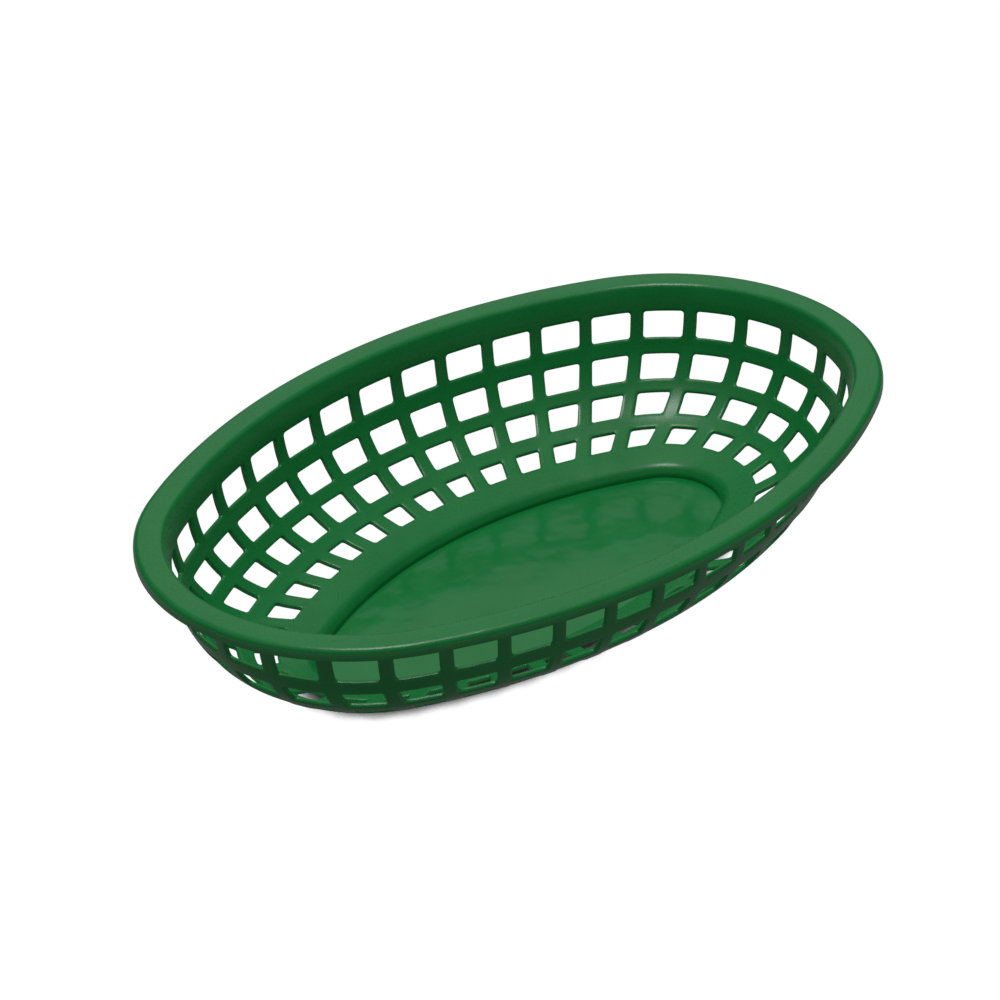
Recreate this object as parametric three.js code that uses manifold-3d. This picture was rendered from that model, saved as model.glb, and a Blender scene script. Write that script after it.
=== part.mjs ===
// Oval serving basket, a one-piece moulding in green plastic: a flanged rim, a bowl-shaped wall that
// is an open lattice of ribs and hoops, a sloping ledge round the base, and a recessed floor to stand on.
// Each member of the moulding is a solid of its own. Millimetres, +Z up, +X along the basket, with
// the origin on the table under the middle of the floor.

import * as THREE from 'three';
import { mergeVertices } from 'three/addons/utils/BufferGeometryUtils.js';
import Module from 'manifold-3d';

const wasm = await Module();
wasm.setup();

const { clamp, degToRad, lerp, mapLinear } = THREE.MathUtils;

// Driving dimensions of the whole basket
const LENGTH = 260;             // over the rim
const WIDTH = 168.5;            // over the rim
const HEIGHT = 50;              // table to rim top
const END_RADIUS = 68;          // rim's outer edge, round each end
const WALL = 1.5;               // thickness of flange, lip, band, lattice, ledge and step
const SEAT = 0.25;              // gap between members that meet

// Section of the wall, along its middle: a leaning straight band, a curve, and a sloping ledge
const RIM_REACH = 8.9;          // rim's outer edge to the wall, level with the rim top
const BAND_LEAN = degToRad(7);  // outward lean of the band
const BAND_LENGTH = 11.7;       // rim top to where the wall starts to curve in
const LEDGE_LENGTH = 12.5;      // end of the curve to the step
const LEDGE_SLOPE = degToRad(16.6);

// Rim
const LIP_HEIGHT = 3.9;         // turned-down outer lip, from the rim top
const LIP_ROUND = 1.3;          // outer top edge
const MOUTH_ROUND = 2;          // inner top edge, into the basket
const FLANGE_FILLET = 1.2;      // under the flange, against the band

// Lattice, with heights measured along the wall
const COLUMNS = 36;             // ribs round the basket, one on each end and each side
const FIRST_ROW = 9.2;          // rim top to the first row of openings
const HOOP_HEIGHTS = [5.4, 4.6, 5.5];
const OPENING_SHARES = [0.278, 0.253, 0.241, 0.228];  // of the height that the hoops leave, row by row
const PLAIN_LEDGE = 8.8;        // last row of openings to the step
const RIB_TOP_WIDTH = 4.2;
const RIB_FOOT_WIDTH = 5.6;

// Base
const STEP_DEPTH = 3.3;         // middle of the ledge, at the step, to the floor
const STEP_LAND = 2.2;          // end of the ledge that is moulded with the step
const STEP_ROUND = 1.4;         // top edge of the step
const STEP_DRAFT = 1.6;         // lean of the step over its depth
const FOOT_ROUND = 1.2;         // outer bottom edge of the step
const FLOOR = 1.7;              // floor thickness

// Facets
const FACETS_PER_COLUMN = 3;    // round the basket
const RIB_STEPS = 2;            // down each row of openings
const ROUND_STEPS = 3;          // on each rounded edge
const SAME_POINT = 1e-4;        // corners closer than this are one corner

const GREEN = 0x2a7040;
const ROUGHNESS = 0.3;

// The curve is struck so that the ledge ends above the floor by the depth of the step
const CURVE_END = Math.PI / 2 - LEDGE_SLOPE;
const CURVE_FALL = HEIGHT - BAND_LENGTH * Math.cos(BAND_LEAN)
  - LEDGE_LENGTH * Math.cos(CURVE_END) - STEP_DEPTH - FLOOR;
const BOWL_RADIUS = CURVE_FALL / (Math.sin(CURVE_END) - Math.sin(BAND_LEAN));
const CURVE_LENGTH = BOWL_RADIUS * (CURVE_END - BAND_LEAN);
const CURVE_CENTRE = new THREE.Vector2(
  RIM_REACH + BAND_LENGTH * Math.sin(BAND_LEAN) + BOWL_RADIUS * Math.cos(BAND_LEAN),
  HEIGHT - BAND_LENGTH * Math.cos(BAND_LEAN) + BOWL_RADIUS * Math.sin(BAND_LEAN),
);
const STEP_EDGE = BAND_LENGTH + CURVE_LENGTH + LEDGE_LENGTH;
const HOOPS = HOOP_HEIGHTS.length;
const ROWS = OPENING_SHARES.length;
const HOOPS_HEIGHT = HOOP_HEIGHTS.reduce((total, height) => total + height);
const OPENINGS_HEIGHT = STEP_EDGE - FIRST_ROW - PLAIN_LEDGE - HOOPS_HEIGHT;
const INNER = -WALL / 2;
const OUTER = WALL / 2;

// A point of the section as (inset from the rim's outer edge, height), at a length along the wall from
// the rim top and an offset from the middle of the wall
function sectionPoint(along, offset) {
  const curved = clamp(along - BAND_LENGTH, 0, CURVE_LENGTH);
  const straight = along - BAND_LENGTH - curved;
  const angle = BAND_LEAN + curved / BOWL_RADIUS;
  const outward = new THREE.Vector2(-Math.cos(angle), -Math.sin(angle));
  const down = new THREE.Vector2(Math.sin(angle), -Math.cos(angle));
  return CURVE_CENTRE.clone()
    .addScaledVector(outward, BOWL_RADIUS + offset)
    .addScaledVector(down, straight);
}

// The point of the leaning band at a height
function bandPoint(height, offset) {
  return sectionPoint((HEIGHT - height - offset * Math.sin(BAND_LEAN)) / Math.cos(BAND_LEAN), offset);
}

function openingHeight(row) {
  return OPENING_SHARES[row] * OPENINGS_HEIGHT;
}

function rowTop(row) {
  let along = FIRST_ROW;
  for (let above = 0; above < row; above += 1) {
    along += openingHeight(above) + HOOP_HEIGHTS[above];
  }
  return along;
}

function rowBottom(row) {
  return rowTop(row) + openingHeight(row);
}

// Plan: every ring is an oval of four arcs, parallel to the rim's outer edge
const SIDE_RADIUS = (LENGTH ** 2 + WIDTH ** 2 - 4 * LENGTH * END_RADIUS) / (4 * (WIDTH - 2 * END_RADIUS));
const END_CENTRE = LENGTH / 2 - END_RADIUS;
const SIDE_CENTRE = SIDE_RADIUS - WIDTH / 2;
const ARC_JOIN = Math.atan2(SIDE_CENTRE, END_CENTRE);

function ovalRing(inset) {
  const end = END_RADIUS - inset;
  const side = SIDE_RADIUS - inset;
  const oval = new THREE.Path();
  oval.absarc(END_CENTRE, 0, end, 0, ARC_JOIN);
  oval.absarc(0, -SIDE_CENTRE, side, ARC_JOIN, Math.PI - ARC_JOIN);
  oval.absarc(-END_CENTRE, 0, end, Math.PI - ARC_JOIN, Math.PI + ARC_JOIN);
  oval.absarc(0, SIDE_CENTRE, side, Math.PI + ARC_JOIN, 2 * Math.PI - ARC_JOIN);
  oval.absarc(END_CENTRE, 0, end, -ARC_JOIN, 0);
  return oval;
}

// A closed section through its corners, where a corner with a round is cut off by a curve
function section(corners) {
  const path = new THREE.Path();
  corners.forEach(({ point, round = 0 }, i) => {
    const before = corners.at(i - 1).point.clone().sub(point);
    const after = corners[(i + 1) % corners.length].point.clone().sub(point);
    const start = before.setLength(round).add(point);
    const end = after.setLength(round).add(point);
    if (i === 0) path.moveTo(start.x, start.y);
    else path.lineTo(start.x, start.y);
    if (round > 0) path.quadraticCurveTo(point.x, point.y, end.x, end.y);
  });
  path.closePath();
  return path.getPoints(ROUND_STEPS);
}

function corner(inset, height, round) {
  return { point: new THREE.Vector2(inset, height), round };
}

// Merges shared corners and drops triangles that have collapsed to a line
function closed(geometry) {
  geometry.deleteAttribute('normal');
  geometry.deleteAttribute('uv');
  const merged = mergeVertices(geometry, SAME_POINT);
  const kept = [];
  for (let i = 0; i < merged.index.count; i += 3) {
    const corners = [0, 1, 2].map((j) => merged.index.getX(i + j));
    if (new Set(corners).size === 3) kept.push(...corners);
  }
  merged.setIndex(kept);
  merged.computeVertexNormals();
  return merged;
}

// A member that runs round the basket: its section is revolved, then pressed into the oval
function ring(corners) {
  const profile = section(corners);
  const facets = COLUMNS * FACETS_PER_COLUMN;
  const round = profile.map((point) => new THREE.Vector2(LENGTH / 2 - point.x, point.y));
  const geometry = new THREE.LatheGeometry(round, facets);
  const ovals = profile.map((point) => ovalRing(point.x));
  const position = geometry.attributes.position;
  for (let i = 0; i < position.count; i += 1) {
    const { x: inset, y: height } = profile[i % profile.length];
    const share = Math.floor(i / profile.length) / facets;
    const atCentre = LENGTH / 2 - inset < SAME_POINT;
    const plan = atCentre ? new THREE.Vector2() : ovals[i % profile.length].getPoint(share);
    position.setXYZ(i, plan.x, plan.y, height);
  }
  return closed(geometry);
}

// A ring of the wall, between two lengths along it
function wallRing(start, end) {
  return ring([
    { point: sectionPoint(end, OUTER) },
    { point: sectionPoint(start, OUTER) },
    { point: sectionPoint(start, INNER) },
    { point: sectionPoint(end, INNER) },
  ]);
}

function ribWidth(inset) {
  const top = sectionPoint(rowTop(0), 0).x;
  const foot = sectionPoint(rowBottom(ROWS - 1), 0).x;
  return mapLinear(inset, top, foot, RIB_TOP_WIDTH, RIB_FOOT_WIDTH);
}

// A member that runs down the wall: its side view is extruded along the wall at its column
function bar(sideView, column, sideGap) {
  const geometry = new THREE.ExtrudeGeometry(new THREE.Shape(sideView), { depth: 1, bevelEnabled: false });
  const position = geometry.attributes.position;
  for (let i = 0; i < position.count; i += 1) {
    const inset = position.getX(i);
    const oval = ovalRing(inset);
    const across = (position.getZ(i) - 0.5) * (ribWidth(inset) + 2 * sideGap);
    const share = column / COLUMNS + across / oval.getLength();
    const plan = oval.getPoint(share - Math.floor(share));
    position.setXYZ(i, plan.x, plan.y, position.getY(i));
  }
  return closed(geometry);
}

function toSolid(geometry) {
  return new wasm.Manifold(new wasm.Mesh({
    numProp: 3,
    vertProperties: new Float32Array(geometry.attributes.position.array),
    triVerts: new Uint32Array(geometry.index.array),
  }));
}

function toGeometry(solid) {
  const mesh = solid.getMesh();
  const geometry = new THREE.BufferGeometry();
  geometry.setAttribute('position', new THREE.BufferAttribute(mesh.vertProperties, 3));
  geometry.setIndex(new THREE.BufferAttribute(mesh.triVerts, 1));
  geometry.computeVertexNormals();
  return geometry;
}

// Rim: flange with a turned-down lip, rounded into the plain band over the lattice
function rim() {
  const lipFoot = HEIGHT - LIP_HEIGHT;
  const underside = HEIGHT - WALL;
  return ring([
    corner(0, lipFoot),
    corner(0, HEIGHT, LIP_ROUND),
    { point: bandPoint(HEIGHT, INNER), round: MOUTH_ROUND },
    { point: sectionPoint(FIRST_ROW, INNER) },
    { point: sectionPoint(FIRST_ROW, OUTER) },
    { point: bandPoint(underside, OUTER), round: FLANGE_FILLET },
    corner(WALL, underside),
    corner(WALL, lipFoot),
  ]);
}

// Side view of a rib: full thickness between the hoops, halved on the inside where a hoop crosses
function ribSideView() {
  const outside = [];
  const inside = [];
  for (let row = 0; row < ROWS; row += 1) {
    const start = rowTop(row) + SEAT;
    const end = rowBottom(row) - SEAT;
    for (let step = 0; step <= RIB_STEPS; step += 1) {
      const along = lerp(start, end, step / RIB_STEPS);
      outside.push(sectionPoint(along, OUTER));
      inside.push(sectionPoint(along, INNER));
    }
    if (row < HOOPS) {
      inside.push(sectionPoint(end, SEAT / 2));
      inside.push(sectionPoint(rowTop(row + 1) + SEAT, SEAT / 2));
    }
  }
  return [...outside, ...inside.reverse()];
}

// Side view of the notch that a rib leaves in the outside of a hoop
function notchSideView(hoop) {
  const start = rowBottom(hoop) - SEAT;
  const end = rowTop(hoop + 1) + SEAT;
  return [
    sectionPoint(start, -SEAT / 2),
    sectionPoint(start, WALL),
    sectionPoint(end, WALL),
    sectionPoint(end, -SEAT / 2),
  ];
}

// Hoop: a ring of the wall, halved on the outside where each rib crosses
function hoop(index) {
  let solid = toSolid(wallRing(rowBottom(index), rowTop(index + 1)));
  for (let rib = 0; rib < COLUMNS; rib += 1) {
    solid = solid.subtract(toSolid(bar(notchSideView(index), rib, SEAT)));
  }
  return toGeometry(solid);
}

// Base ledge: the plain foot of the wall, sloping in to the step
function baseLedge() {
  return wallRing(rowBottom(ROWS - 1), STEP_EDGE - STEP_LAND - SEAT);
}

// Floor pan: the step down from the ledge and the flat floor, which is the foot underneath
function floorPan() {
  const edge = sectionPoint(STEP_EDGE, INNER);
  const floorEdge = edge.x + STEP_DRAFT;
  return ring([
    corner(LENGTH / 2, 0),
    corner(floorEdge - WALL / 2, 0, FOOT_ROUND),
    { point: sectionPoint(STEP_EDGE - STEP_LAND, OUTER) },
    { point: sectionPoint(STEP_EDGE - STEP_LAND, INNER) },
    { point: edge, round: STEP_ROUND },
    corner(floorEdge, FLOOR),
    corner(LENGTH / 2, FLOOR),
  ]);
}

const basket = new THREE.Group();

function add(name, geometry) {
  const material = new THREE.MeshStandardMaterial({ color: GREEN, roughness: ROUGHNESS, metalness: 0 });
  const mesh = new THREE.Mesh(geometry, material);
  mesh.name = name;
  basket.add(mesh);
}

add('rim', rim());
for (let index = 0; index < HOOPS; index += 1) {
  add(`hoop_${index + 1}`, hoop(index));
}
for (let rib = 0; rib < COLUMNS; rib += 1) {
  add(`rib_${String(rib + 1).padStart(2, '0')}`, bar(ribSideView(), rib, 0));
}
add('base_ledge', baseLedge());
add('floor_pan', floorPan());

export default basket;
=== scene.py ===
"""Looks of an oval serving basket moulded in one piece of glossy green plastic.

The rim, the lattice wall and the base are modelled as the moulding shows them, with every
edge rounded, in the frame of the CAD model. Sizes are in metres.
"""

import math

import bmesh
import bpy
from mathutils import Matrix, Vector


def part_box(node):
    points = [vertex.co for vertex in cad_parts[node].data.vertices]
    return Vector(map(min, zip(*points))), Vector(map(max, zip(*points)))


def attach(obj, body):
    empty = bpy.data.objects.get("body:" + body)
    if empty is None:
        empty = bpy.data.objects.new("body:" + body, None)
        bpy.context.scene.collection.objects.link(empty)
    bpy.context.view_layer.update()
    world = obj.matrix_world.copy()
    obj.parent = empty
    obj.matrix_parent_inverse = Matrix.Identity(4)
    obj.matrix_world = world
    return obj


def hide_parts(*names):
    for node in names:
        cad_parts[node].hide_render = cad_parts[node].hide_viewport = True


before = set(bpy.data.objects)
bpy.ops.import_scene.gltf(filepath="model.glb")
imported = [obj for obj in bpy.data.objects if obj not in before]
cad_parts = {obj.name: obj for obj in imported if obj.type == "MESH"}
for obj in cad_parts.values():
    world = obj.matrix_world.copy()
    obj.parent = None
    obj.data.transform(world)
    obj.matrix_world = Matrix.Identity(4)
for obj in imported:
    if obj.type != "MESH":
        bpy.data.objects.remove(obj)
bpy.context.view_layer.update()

# Sizes of the whole basket, from the frame
rim_low, rim_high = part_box("rim")
LENGTH = rim_high.x - rim_low.x
WIDTH = rim_high.y - rim_low.y
HEIGHT = rim_high.z
END_RADIUS = 0.068              # rim's outer edge, round each end
WALL = 0.0015
SMALL_ROUND = 0.0005            # thin edges of the rim and the base

# Section of the wall, along its middle: a leaning straight band, a curve, and a sloping ledge
RIM_REACH = 0.0089              # outer edge to the wall, level with the rim top
BAND_LEAN = math.radians(7)
BAND_LENGTH = 0.0117            # rim top to where the wall starts to curve in
LEDGE_LENGTH = 0.0125           # end of the curve to the step
LEDGE_SLOPE = math.radians(16.6)

# Rim
LIP_HEIGHT = 0.0039
LIP_ROUND = 0.0019
MOUTH_ROUND = 0.0014            # edge of the flange over the mouth
MOUTH_FLARE = 0.0009            # top of the band, out past the lean of the wall
FLARE_START = 0.0048            # rim top to where the band starts to flare
FLARE_ROUND = 0.0016
FLANGE_FILLET = 0.0012          # under the flange, where it meets the band

# Lattice, with heights measured along the wall
COLUMNS = 36
FIRST_ROW = 0.0092              # rim top to the first row of openings
HOOP_HEIGHTS = [0.0054, 0.0046, 0.0055]
OPENING_SHARES = [0.278, 0.253, 0.241, 0.228]
PLAIN_LEDGE = 0.0088            # last row of openings to the step
RIB_TOP_WIDTH = 0.0042
RIB_FOOT_WIDTH = 0.0056
CORNER_ROUND = 0.0009           # corners of the openings
EDGE_ROUND = 0.0005             # edges of ribs and hoops
LATTICE_MARGIN = 0.0026         # plain wall over the first row and under the last

# Base
STEP_DEPTH = 0.0033             # middle of the ledge, at the step, to the floor
STEP_ROUND = 0.0013             # edge of the ledge over the step
STEP_DRAFT = 0.0016             # run of the step's slope, in plan
STEP_DROP = 0.0013              # upright foot of the step
STEP_OVERHANG = 0.0009          # ledge past the CAD model's step, before it is rounded off
FOOT_ROUND = 0.0012             # edge of the underside
FLOOR = 0.0017                  # thickness of the floor

# Facets of the meshes
FACETS_PER_COLUMN = 8
ROUND_SEGMENTS = 5
CORNER_SEGMENTS = 4
EDGE_SEGMENTS = 2
WIDE_CUTS = 5                   # along the top and bottom of an opening
TALL_CUTS = 4                   # along the sides of an opening
FRAME_CUTS = 1                  # across a rib or hoop, from the opening to its middle
FLOOR_RINGS = 8
WELD = 0.00001
SHARP_ANGLE = math.radians(50)

# The curve is struck so that the ledge ends above the floor by the depth of the step
CURVE_END = math.pi / 2 - LEDGE_SLOPE
BAND_FALL = BAND_LENGTH * math.cos(BAND_LEAN)
CURVE_FALL = HEIGHT - BAND_FALL - LEDGE_LENGTH * math.cos(CURVE_END) - STEP_DEPTH - FLOOR
BOWL_RADIUS = CURVE_FALL / (math.sin(CURVE_END) - math.sin(BAND_LEAN))
CURVE_LENGTH = BOWL_RADIUS * (CURVE_END - BAND_LEAN)
CURVE_CENTRE = Vector((
    RIM_REACH + BAND_LENGTH * math.sin(BAND_LEAN) + BOWL_RADIUS * math.cos(BAND_LEAN),
    HEIGHT - BAND_FALL + BOWL_RADIUS * math.sin(BAND_LEAN),
))
STEP_EDGE = BAND_LENGTH + CURVE_LENGTH + LEDGE_LENGTH
INNER = -WALL / 2
OUTER = WALL / 2

# Rows of openings, along the wall
ROWS = len(OPENING_SHARES)
OPENINGS_HEIGHT = STEP_EDGE - FIRST_ROW - PLAIN_LEDGE - sum(HOOP_HEIGHTS)
OPENING_HEIGHTS = [share * OPENINGS_HEIGHT for share in OPENING_SHARES]
ROW_TOPS = [FIRST_ROW + sum(OPENING_HEIGHTS[:row]) + sum(HOOP_HEIGHTS[:row]) for row in range(ROWS)]
ROW_BOTTOMS = [top + height for top, height in zip(ROW_TOPS, OPENING_HEIGHTS)]
LATTICE_TOP = FIRST_ROW - LATTICE_MARGIN
LATTICE_FOOT = ROW_BOTTOMS[-1] + LATTICE_MARGIN
FRAME_HEIGHTS = [LATTICE_MARGIN, *(height / 2 for height in HOOP_HEIGHTS), LATTICE_MARGIN]

# Plan: every ring is an oval of four arcs, parallel to the rim's outer edge
END_CENTRE = LENGTH / 2 - END_RADIUS
SIDE_RADIUS = (LENGTH ** 2 + WIDTH ** 2 - 4 * LENGTH * END_RADIUS) / (4 * (WIDTH - 2 * END_RADIUS))
SIDE_CENTRE = SIDE_RADIUS - WIDTH / 2
ARC_JOIN = math.atan2(SIDE_CENTRE, END_CENTRE)

# One opening of the lattice laid flat, before the wall is rolled into the oval
FLAT_PITCH = 0.016
FLAT_RIB = 0.0044
FLAT_ROW = 0.0132
FLAT_HOOP = 0.0052
FLAT_WIDTH = FLAT_PITCH - FLAT_RIB
FLAT_HEIGHT = FLAT_ROW - FLAT_HOOP


def section_point(along, offset):
    """Inset from the rim's edge and height of a point, from its length along the wall and its offset."""
    curved = min(max(along - BAND_LENGTH, 0), CURVE_LENGTH)
    straight = along - BAND_LENGTH - curved
    angle = BAND_LEAN + curved / BOWL_RADIUS
    outward = Vector((-math.cos(angle), -math.sin(angle)))
    down = Vector((math.sin(angle), -math.cos(angle)))
    return CURVE_CENTRE + outward * (BOWL_RADIUS + offset) + down * straight


def band_point(height, offset):
    """Point of the leaning band at a height."""
    return section_point((HEIGHT - height - offset * math.sin(BAND_LEAN)) / math.cos(BAND_LEAN), offset)


def oval_length(inset):
    end_way = (END_RADIUS - inset) * ARC_JOIN
    side_way = (SIDE_RADIUS - inset) * (math.pi / 2 - ARC_JOIN)
    return 4 * (end_way + side_way)


def oval_point(share, inset):
    """Place in plan on the ring at an inset, at a share of the way round it from the end at +X."""
    end = END_RADIUS - inset
    side = SIDE_RADIUS - inset
    quarter, within = divmod((share % 1) * 4, 1)
    way = (1 - within if quarter % 2 else within) * oval_length(inset) / 4
    if way < end * ARC_JOIN:
        angle = way / end
        x = END_CENTRE + end * math.cos(angle)
        y = end * math.sin(angle)
    else:
        angle = ARC_JOIN + (way - end * ARC_JOIN) / side
        x = side * math.cos(angle)
        y = side * math.sin(angle) - SIDE_CENTRE
    return Vector((-x if quarter in (1, 2) else x, -y if quarter > 1 else y))


def new_piece(name, bm, material, nodes):
    """Makes an object of a finished mesh, which rides on the one body in place of its solids."""
    bmesh.ops.remove_doubles(bm, verts=bm.verts[:], dist=WELD)
    bmesh.ops.recalc_face_normals(bm, faces=bm.faces[:])
    mesh = bpy.data.meshes.new(name)
    bm.to_mesh(mesh)
    bm.free()
    mesh.shade_smooth()
    mesh.set_sharp_from_angle(angle=SHARP_ANGLE)
    mesh.materials.append(material)
    piece = bpy.data.objects.new(name, mesh)
    bpy.context.scene.collection.objects.link(piece)
    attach(piece, "root")
    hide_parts(*nodes)
    return piece


def section_outline(corners):
    """Bmesh with the closed outline of a section, from (inset, height, rounding) corners."""
    bm = bmesh.new()
    rounds = []
    for inset, height, rounding in corners:
        vert = bm.verts.new((LENGTH / 2 - inset, 0, height))
        rounds.append((vert, rounding))
    bm.faces.new([vert for vert, rounding in rounds])
    for vert, rounding in rounds:
        if rounding:
            bmesh.ops.bevel(bm, geom=[vert], offset=rounding, affect="VERTICES",
                            segments=ROUND_SEGMENTS, profile=0.5, material=-1)
    bmesh.ops.delete(bm, geom=bm.faces[:], context="FACES_ONLY")
    return bm


def spin_round(bm, middle_inset=LENGTH / 2):
    """Spins a section about the middle of the basket and presses the round into the oval.

    Inside middle_inset the rings shrink evenly to the middle instead.
    """
    bmesh.ops.spin(bm, geom=bm.verts[:] + bm.edges[:], cent=(0, 0, 0), axis=(0, 0, 1), dvec=(0, 0, 0),
                   angle=math.tau, steps=COLUMNS * FACETS_PER_COLUMN, use_merge=True)
    for vert in bm.verts:
        share = math.atan2(vert.co.y, vert.co.x) / math.tau
        radius = vert.co.xy.length
        inset = min(LENGTH / 2 - radius, middle_inset)
        vert.co.xy = oval_point(share, inset) * (radius / (LENGTH / 2 - inset))


def moulded_rim(plastic):
    """Flange with its turned-down lip, and the plain band over the lattice, flared at its top."""
    underside = HEIGHT - WALL
    lip_foot = HEIGHT - LIP_HEIGHT
    flare = Vector((MOUTH_FLARE, 0))
    bm = section_outline([
        (0, lip_foot, SMALL_ROUND),
        (0, HEIGHT, LIP_ROUND),
        (*(band_point(HEIGHT, INNER) - flare), MOUTH_ROUND),
        (*section_point(FLARE_START, INNER), FLARE_ROUND),
        (*section_point(LATTICE_TOP, INNER), 0),
        (*section_point(LATTICE_TOP, OUTER), 0),
        (*section_point(FLARE_START, OUTER), FLARE_ROUND),
        (*(band_point(underside, OUTER) - flare), FLANGE_FILLET),
        (WALL, underside, SMALL_ROUND),
        (WALL, lip_foot, SMALL_ROUND),
    ])
    spin_round(bm)
    return new_piece("moulded_rim", bm, plastic, ["rim"])


def on_flat_border(face):
    """Whether an upright face closes the outer border of the flat opening, where its copies join."""
    middle = face.calc_center_median()
    upright = abs(face.normal.z) < 0.5
    return upright and (abs(middle.x) > FLAT_PITCH / 2 - WELD or abs(middle.y) > FLAT_ROW / 2 - WELD)


def flat_opening():
    """Bmesh of one opening with half of the ribs and hoops round it, laid flat with its full thickness."""
    bm = bmesh.new()
    bmesh.ops.create_grid(bm, x_segments=1, y_segments=1, size=0.5)
    bmesh.ops.scale(bm, vec=(FLAT_WIDTH, FLAT_HEIGHT, 1), verts=bm.verts[:])
    bmesh.ops.bevel(bm, geom=bm.verts[:], offset=CORNER_ROUND, affect="VERTICES",
                    segments=CORNER_SEGMENTS, profile=0.5, material=-1)
    bmesh.ops.delete(bm, geom=bm.faces[:], context="FACES_ONLY")
    straight = [edge for edge in bm.edges if edge.calc_length() > 2 * CORNER_ROUND]
    wide = [edge for edge in straight if abs(edge.verts[0].co.y - edge.verts[1].co.y) < WELD]
    tall = [edge for edge in straight if edge not in wide]
    bmesh.ops.subdivide_edges(bm, edges=wide, cuts=WIDE_CUTS)
    bmesh.ops.subdivide_edges(bm, edges=tall, cuts=TALL_CUTS)
    grown = bmesh.ops.extrude_edge_only(bm, edges=bm.edges[:])["geom"]
    corner_in = CORNER_ROUND * (1 - math.sqrt(0.5))
    corner_x = FLAT_WIDTH / 2 - corner_in
    corner_y = FLAT_HEIGHT / 2 - corner_in
    border = [item for item in grown if isinstance(item, bmesh.types.BMVert)]
    for vert in border:
        across = vert.co.x / corner_x
        down = vert.co.y / corner_y
        if abs(down) >= max(abs(across), 1):
            across = max(-1, min(1, across))
            down = math.copysign(1, down)
        else:
            across = math.copysign(1, across)
            down = max(-1, min(1, down))
        vert.co.xy = across * FLAT_PITCH / 2, down * FLAT_ROW / 2
    border_set = set(border)
    spokes = [edge for edge in bm.edges if (edge.verts[0] in border_set) != (edge.verts[1] in border_set)]
    bmesh.ops.subdivide_edges(bm, edges=spokes, cuts=FRAME_CUTS)
    front = bm.verts[:]
    bmesh.ops.extrude_face_region(bm, geom=bm.faces[:])
    bmesh.ops.translate(bm, vec=(0, 0, WALL), verts=front)
    bmesh.ops.translate(bm, vec=(0, 0, INNER), verts=bm.verts[:])
    outside = [face for face in bm.faces if on_flat_border(face)]
    bmesh.ops.delete(bm, geom=outside, context="FACES")
    edges = [edge for edge in bm.edges if len(edge.link_faces) == 2 and edge.calc_face_angle() > SHARP_ANGLE]
    long_edges = [edge for edge in edges if abs(edge.verts[0].co.z - edge.verts[1].co.z) < WELD]
    bmesh.ops.bevel(bm, geom=long_edges, offset=EDGE_ROUND, affect="EDGES",
                    segments=EDGE_SEGMENTS, profile=0.5, material=-1)
    return bm


def rib_width(inset):
    top = section_point(ROW_TOPS[0], 0).x
    foot = section_point(ROW_BOTTOMS[-1], 0).x
    return RIB_TOP_WIDTH + (RIB_FOOT_WIDTH - RIB_TOP_WIDTH) * (inset - top) / (foot - top)


def along_wall(flat_y):
    """Length along the wall for a height on the flat lattice."""
    row = min(max(math.floor(flat_y / FLAT_ROW), 0), ROWS - 1)
    from_middle = flat_y - (row + 0.5) * FLAT_ROW
    past = (abs(from_middle) - FLAT_HEIGHT / 2) / (FLAT_HOOP / 2)
    if past < 0:
        return ROW_TOPS[row] + (0.5 + from_middle / FLAT_HEIGHT) * OPENING_HEIGHTS[row]
    if from_middle < 0:
        return ROW_TOPS[row] - past * FRAME_HEIGHTS[row]
    return ROW_BOTTOMS[row] + past * FRAME_HEIGHTS[row + 1]


def share_round(flat_x, inset):
    """Share of the way round the ring at an inset, for a place along the flat lattice."""
    column = math.floor(flat_x / FLAT_PITCH)
    from_middle = flat_x - (column + 0.5) * FLAT_PITCH
    rib = rib_width(inset) * COLUMNS / oval_length(inset)
    past = (abs(from_middle) - FLAT_WIDTH / 2) / (FLAT_RIB / 2)
    if past < 0:
        across = from_middle / FLAT_WIDTH * (1 - rib)
    else:
        across = math.copysign((1 - rib + past * rib) / 2, from_middle)
    return (column + 0.5 + across) / COLUMNS


def roll(vert):
    """Place of a point of the flat lattice on the wall: x runs round the oval, y down the wall."""
    inset, height = section_point(along_wall(vert.co.y), vert.co.z)
    plan = oval_point(share_round(vert.co.x, inset), inset)
    return Vector((plan.x, plan.y, height))


def lattice_wall(plastic):
    """The open wall: one flat opening, repeated in rows and columns and rolled into the oval bowl."""
    bm = flat_opening()
    bmesh.ops.translate(bm, vec=(FLAT_PITCH / 2, FLAT_ROW / 2, 0), verts=bm.verts[:])
    cell = bm.verts[:] + bm.edges[:] + bm.faces[:]
    for column in range(COLUMNS):
        for row in range(ROWS):
            if column or row:
                copy = bmesh.ops.duplicate(bm, geom=cell)["geom"]
                verts = [item for item in copy if isinstance(item, bmesh.types.BMVert)]
                bmesh.ops.translate(bm, vec=(column * FLAT_PITCH, row * FLAT_ROW, 0), verts=verts)
    for vert in bm.verts:
        vert.co = roll(vert)
    bmesh.ops.remove_doubles(bm, verts=bm.verts[:], dist=WELD)
    middle_height = section_point((LATTICE_TOP + LATTICE_FOOT) / 2, 0).y
    rims = [edge for edge in bm.edges if edge.is_boundary]
    for above in (True, False):
        seam = [edge for edge in rims if (edge.verts[0].co.z > middle_height) == above]
        bmesh.ops.bridge_loops(bm, edges=seam)
    nodes = [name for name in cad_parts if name.startswith(("hoop_", "rib_"))]
    return new_piece("lattice_wall", bm, plastic, nodes)


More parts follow.
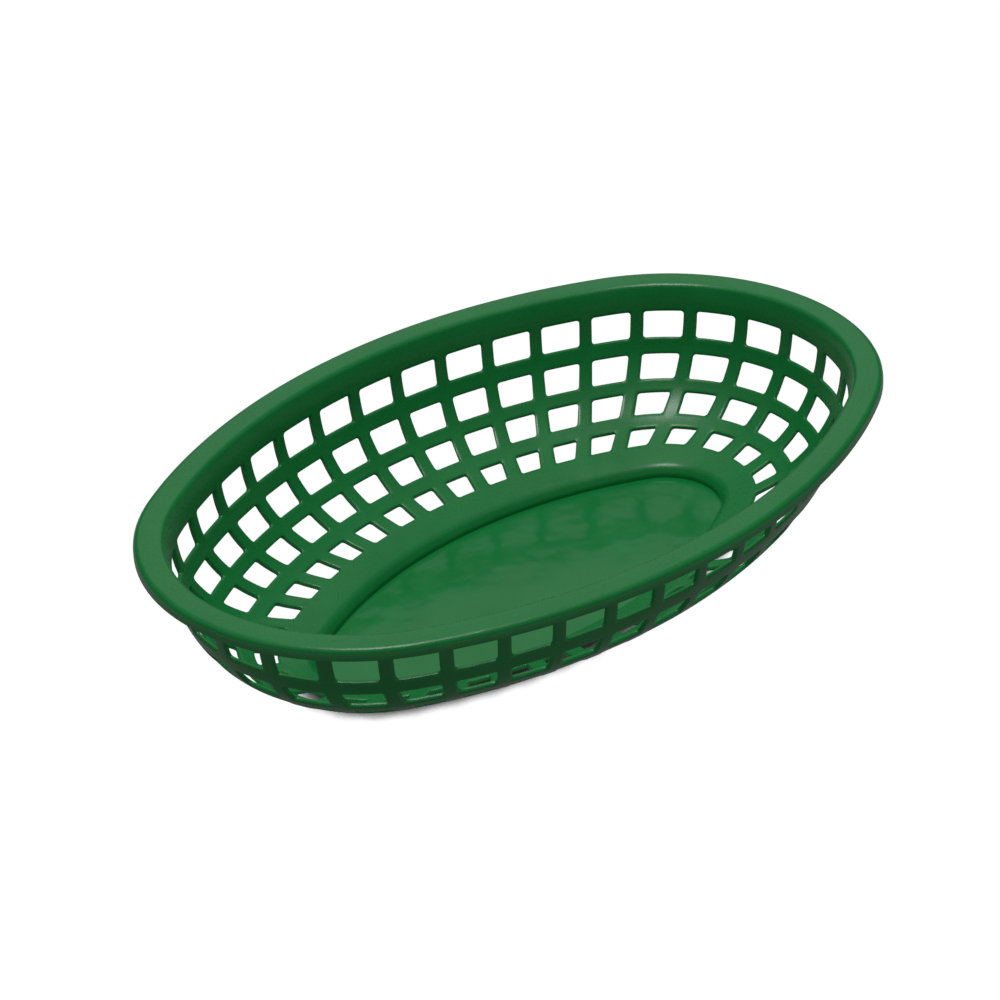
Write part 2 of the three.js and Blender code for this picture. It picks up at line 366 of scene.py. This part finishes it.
def moulded_base(plastic):
    """Sloping ledge at the foot of the wall, the step down from it and the recessed floor."""
    ledge_end = section_point(STEP_EDGE + STEP_OVERHANG, INNER)
    floor_edge = ledge_end.x + STEP_DRAFT
    bm = section_outline([
        (*section_point(LATTICE_FOOT, OUTER), 0),
        (*section_point(LATTICE_FOOT, INNER), 0),
        (*ledge_end, STEP_ROUND),
        (floor_edge, FLOOR + STEP_DROP, SMALL_ROUND),
        (floor_edge, FLOOR, 0),
        (LENGTH / 2, FLOOR, 0),
        (LENGTH / 2, 0, 0),
        (floor_edge - WALL / 2, 0, FOOT_ROUND),
        (*section_point(STEP_EDGE - STEP_ROUND, OUTER), SMALL_ROUND),
    ])
    axis = [edge for edge in bm.edges if max(vert.co.x for vert in edge.verts) < WELD]
    bmesh.ops.delete(bm, geom=axis, context="EDGES")
    spokes = [edge for edge in bm.edges if min(vert.co.x for vert in edge.verts) < WELD]
    bmesh.ops.subdivide_edges(bm, edges=spokes, cuts=FLOOR_RINGS)
    spin_round(bm, floor_edge + FOOT_ROUND)
    return new_piece("moulded_base", bm, plastic, ["base_ledge", "floor_pan"])


# Green plastic
PLASTIC_IOR = 1.49
DARK_GREEN = (0.008, 0.250, 0.053, 1)
LIGHT_GREEN = (0.011, 0.280, 0.063, 1)
GREEN_LEVELS = (0.3, 0.7)       # levels of the mottle at the dark and the light green
MOTTLE_SCALE = 38
MOTTLE_DETAIL = 4
GRAIN_SCALE = 900
GRAIN_DETAIL = 3
RIPPLE_SCALE = 55
RIPPLE_DETAIL = 2
FLOOR_ROUGHNESS = 0.11
WALL_ROUGHNESS = 0.25           # from the ledge upwards
GRAIN_ROUGHNESS = 0.06          # that the grain adds
RIPPLE_STRENGTH = 0.5
RIPPLE_DEPTH = 0.001
GRAIN_STRENGTH = 0.02
GRAIN_DEPTH = 0.0002


def noise_on_object(tree, place, scale, detail):
    noise = tree.nodes.new("ShaderNodeTexNoise")
    noise.inputs["Scale"].default_value = scale
    noise.inputs["Detail"].default_value = detail
    tree.links.new(place.outputs["Object"], noise.inputs["Vector"])
    return noise.outputs["Fac"]


def bump(tree, height, strength, depth):
    relief = tree.nodes.new("ShaderNodeBump")
    relief.inputs["Strength"].default_value = strength
    relief.inputs["Distance"].default_value = depth
    tree.links.new(height, relief.inputs["Height"])
    return relief


def green_plastic():
    """Moulded plastic, polished on the floor and satin above, with a mottle, a grain and a ripple."""
    material = bpy.data.materials.new("green_plastic")
    material.use_nodes = True
    tree = material.node_tree
    shader = tree.nodes["Principled BSDF"]
    shader.inputs["IOR"].default_value = PLASTIC_IOR
    place = tree.nodes.new("ShaderNodeTexCoord")
    mottle = noise_on_object(tree, place, MOTTLE_SCALE, MOTTLE_DETAIL)
    grain = noise_on_object(tree, place, GRAIN_SCALE, GRAIN_DETAIL)
    ripple = noise_on_object(tree, place, RIPPLE_SCALE, RIPPLE_DETAIL)

    greens = tree.nodes.new("ShaderNodeValToRGB")
    for stop, level, green in zip(greens.color_ramp.elements, GREEN_LEVELS, (DARK_GREEN, LIGHT_GREEN)):
        stop.position = level
        stop.color = green
    tree.links.new(mottle, greens.inputs["Fac"])
    tree.links.new(greens.outputs["Color"], shader.inputs["Base Color"])

    rise = tree.nodes.new("ShaderNodeSeparateXYZ")
    gloss = tree.nodes.new("ShaderNodeMapRange")
    gloss.inputs["From Min"].default_value = FLOOR
    gloss.inputs["From Max"].default_value = FLOOR + STEP_DEPTH
    gloss.inputs["To Min"].default_value = FLOOR_ROUGHNESS
    gloss.inputs["To Max"].default_value = WALL_ROUGHNESS
    grained_gloss = tree.nodes.new("ShaderNodeMath")
    grained_gloss.operation = "MULTIPLY_ADD"
    grained_gloss.inputs[1].default_value = GRAIN_ROUGHNESS
    tree.links.new(place.outputs["Object"], rise.inputs["Vector"])
    tree.links.new(rise.outputs["Z"], gloss.inputs["Value"])
    tree.links.new(grain, grained_gloss.inputs[0])
    tree.links.new(gloss.outputs["Result"], grained_gloss.inputs[2])
    tree.links.new(grained_gloss.outputs["Value"], shader.inputs["Roughness"])

    slow = bump(tree, ripple, RIPPLE_STRENGTH, RIPPLE_DEPTH)
    fine = bump(tree, grain, GRAIN_STRENGTH, GRAIN_DEPTH)
    tree.links.new(slow.outputs["Normal"], fine.inputs["Normal"])
    tree.links.new(fine.outputs["Normal"], shader.inputs["Normal"])
    return material


# Camera, placed as the photograph was taken
CAMERA_AZIMUTH = math.radians(-43.39)
CAMERA_ELEVATION = math.radians(30.20)
CAMERA_ROLL = math.radians(-2.47)
CAMERA_DISTANCE = 1.1227
CAMERA_AIM = (-0.00589, -0.01652)   # right and up in the picture, from the middle of the rim
CAMERA_LENS = 135.3
CAMERA_SENSOR = 36
CAMERA_CLIP = (0.01, 100)


def add_camera():
    back = Vector((
        math.sin(CAMERA_AZIMUTH) * math.cos(CAMERA_ELEVATION),
        -math.cos(CAMERA_AZIMUTH) * math.cos(CAMERA_ELEVATION),
        math.sin(CAMERA_ELEVATION),
    ))
    level = Vector((math.cos(CAMERA_AZIMUTH), math.sin(CAMERA_AZIMUTH), 0))
    upright = back.cross(level)
    right = level * math.cos(CAMERA_ROLL) + upright * math.sin(CAMERA_ROLL)
    up = upright * math.cos(CAMERA_ROLL) - level * math.sin(CAMERA_ROLL)
    eye = Vector((0, 0, HEIGHT)) + right * CAMERA_AIM[0] + up * CAMERA_AIM[1] + back * CAMERA_DISTANCE
    data = bpy.data.cameras.new("camera")
    data.lens = CAMERA_LENS
    data.sensor_width = CAMERA_SENSOR
    data.clip_start, data.clip_end = CAMERA_CLIP
    camera = bpy.data.objects.new("camera", data)
    camera.matrix_world = Matrix((right, up, back)).transposed().to_4x4()
    camera.location = eye
    bpy.context.scene.collection.objects.link(camera)
    bpy.context.scene.camera = camera


# Studio
STUDIO_FLOOR_SIZE = 8
STUDIO_FLOOR_GREY = (0.03, 0.03, 0.03, 1)
STUDIO_FLOOR_ROUGHNESS = 0.9
SHADE_REACH = 0.0085            # of the contact shade painted on the floor
SHADE_LEVELS = (0.3, 0.55)      # open share of the sky where the shade is full, and where it ends
SHADE_COLOUR = (0.01, 0.012, 0.01, 1)
# Room: height of the direction, from straight down at 0 to straight up at 1, and its grey
ROOM_TONES = [(0.02, 0.07), (0.42, 0.38), (0.52, 0.03), (0.75, 0.07), (0.98, 0.32)]
# Softboxes: name, place, width and power in watts
SOFTBOXES = [
    ("overhead_softbox", (-0.08, -0.10, 1.3), 0.54, 5.5),
    ("rear_softbox", (0.29, 0.31, 1.3), 0.8, 0.8),
    ("back_panel", (0.96, 1.02, 0.93), 1.3, 1.4),
]
SOFTBOX_TARGET = (0, 0, 0.05)


def white_floor_paint():
    """White that glows evenly, so that the floor has no shadow, with a contact shade painted under the
    basket from ambient occlusion.
    """
    paint = bpy.data.materials.new("white_floor")
    paint.use_nodes = True
    tree = paint.node_tree
    shader = tree.nodes["Principled BSDF"]
    shader.inputs["Base Color"].default_value = STUDIO_FLOOR_GREY
    shader.inputs["Roughness"].default_value = STUDIO_FLOOR_ROUGHNESS
    shader.inputs["Specular IOR Level"].default_value = 0
    shader.inputs["Emission Strength"].default_value = 1
    # Painted contact shade: the glow turns dark where ambient occlusion finds the basket close above
    painted_shade_cover = tree.nodes.new("ShaderNodeAmbientOcclusion")
    painted_shade_cover.inputs["Distance"].default_value = SHADE_REACH
    shade = tree.nodes.new("ShaderNodeValToRGB")
    full, ended = shade.color_ramp.elements
    full.position, ended.position = SHADE_LEVELS
    full.color = SHADE_COLOUR
    tree.links.new(painted_shade_cover.outputs["AO"], shade.inputs["Fac"])
    tree.links.new(shade.outputs["Color"], shader.inputs["Emission Color"])
    return paint


def add_studio_floor():
    bm = bmesh.new()
    bmesh.ops.create_grid(bm, x_segments=1, y_segments=1, size=STUDIO_FLOOR_SIZE)
    mesh = bpy.data.meshes.new("studio_floor")
    bm.to_mesh(mesh)
    bm.free()
    mesh.materials.append(white_floor_paint())
    floor = bpy.data.objects.new("studio_floor", mesh)
    bpy.context.scene.collection.objects.link(floor)
    floor.visible_diffuse = False
    floor.visible_glossy = False


def add_room():
    """Dim surroundings, whose grey changes with the height of the direction."""
    world = bpy.data.worlds.new("studio")
    world.use_nodes = True
    tree = world.node_tree
    sky = tree.nodes["Background"]
    direction = tree.nodes.new("ShaderNodeTexCoord")
    rise = tree.nodes.new("ShaderNodeSeparateXYZ")
    height = tree.nodes.new("ShaderNodeMapRange")
    height.inputs["From Min"].default_value = -1
    room = tree.nodes.new("ShaderNodeValToRGB")
    for place, grey in ROOM_TONES:
        tone = room.color_ramp.elements.new(place)
        tone.color = (grey, grey, grey, 1)
    room.color_ramp.elements.remove(room.color_ramp.elements[0])
    room.color_ramp.elements.remove(room.color_ramp.elements[-1])
    tree.links.new(direction.outputs["Generated"], rise.inputs["Vector"])
    tree.links.new(rise.outputs["Z"], height.inputs["Value"])
    tree.links.new(height.outputs["Result"], room.inputs["Fac"])
    tree.links.new(room.outputs["Color"], sky.inputs["Color"])
    bpy.context.scene.world = world


def add_softboxes():
    for name, place, width, power in SOFTBOXES:
        data = bpy.data.lights.new(name, "AREA")
        data.shape = "DISK"
        data.size = width
        data.energy = power
        light = bpy.data.objects.new(name, data)
        light.location = place
        light.rotation_mode = "QUATERNION"
        light.rotation_quaternion = (Vector(SOFTBOX_TARGET) - Vector(place)).to_track_quat("-Z", "Y")
        bpy.context.scene.collection.objects.link(light)


bpy.context.scene.view_settings.view_transform = "Standard"
add_camera()
add_studio_floor()
add_room()
add_softboxes()
plastic = green_plastic()
moulded_rim(plastic)
lattice_wall(plastic)
moulded_base(plastic)
